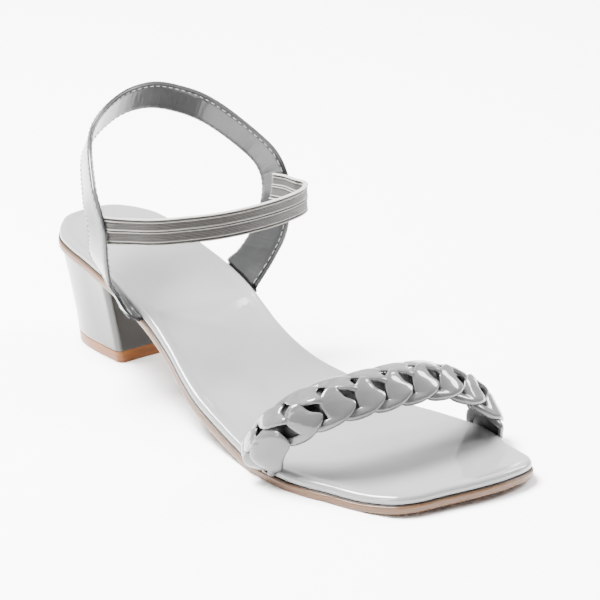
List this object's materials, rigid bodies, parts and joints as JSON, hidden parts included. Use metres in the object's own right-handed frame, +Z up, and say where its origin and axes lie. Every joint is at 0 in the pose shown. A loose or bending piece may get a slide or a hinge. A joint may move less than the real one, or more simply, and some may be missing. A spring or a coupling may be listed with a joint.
{
  "type": "block heel sandal",
  "caption": "Open-toed women's block heel sandal for the right foot, with a braided vamp strap, an elastic instep band and a high loop strap round the ankle.",
  "frame": {"origin": "middle of the heel's base, on the floor the shoe stands on", "axes": "+Z up, -Y towards the toe, +Y towards the back of the heel, +X towards the inner (big toe) side of this right shoe"},
  "size_m": [0.0936, 0.2399, 0.1082],
  "materials": {
    "outsole": "satin tan outsole",
    "footbed": "glossy patent, light cool grey, padded",
    "heel_block": "glossy grey patent cover",
    "heel_top_piece": "satin orange tan",
    "ankle_strap": "glossy patent outside, soft grey lining inside",
    "instep_elastic": "ribbed elastic webbing",
    "vamp_braid": "glossy patent, plaited"
  },
  "bodies": {
    "root": {"outsole": "outsole", "footbed": "footbed", "heel_block": "heel_block", "heel_top_piece": "heel_top_piece", "ankle_strap": "ankle_strap", "instep_elastic": "instep_elastic", "vamp_braid": "vamp_braid"}
  },
  "joints": []
}
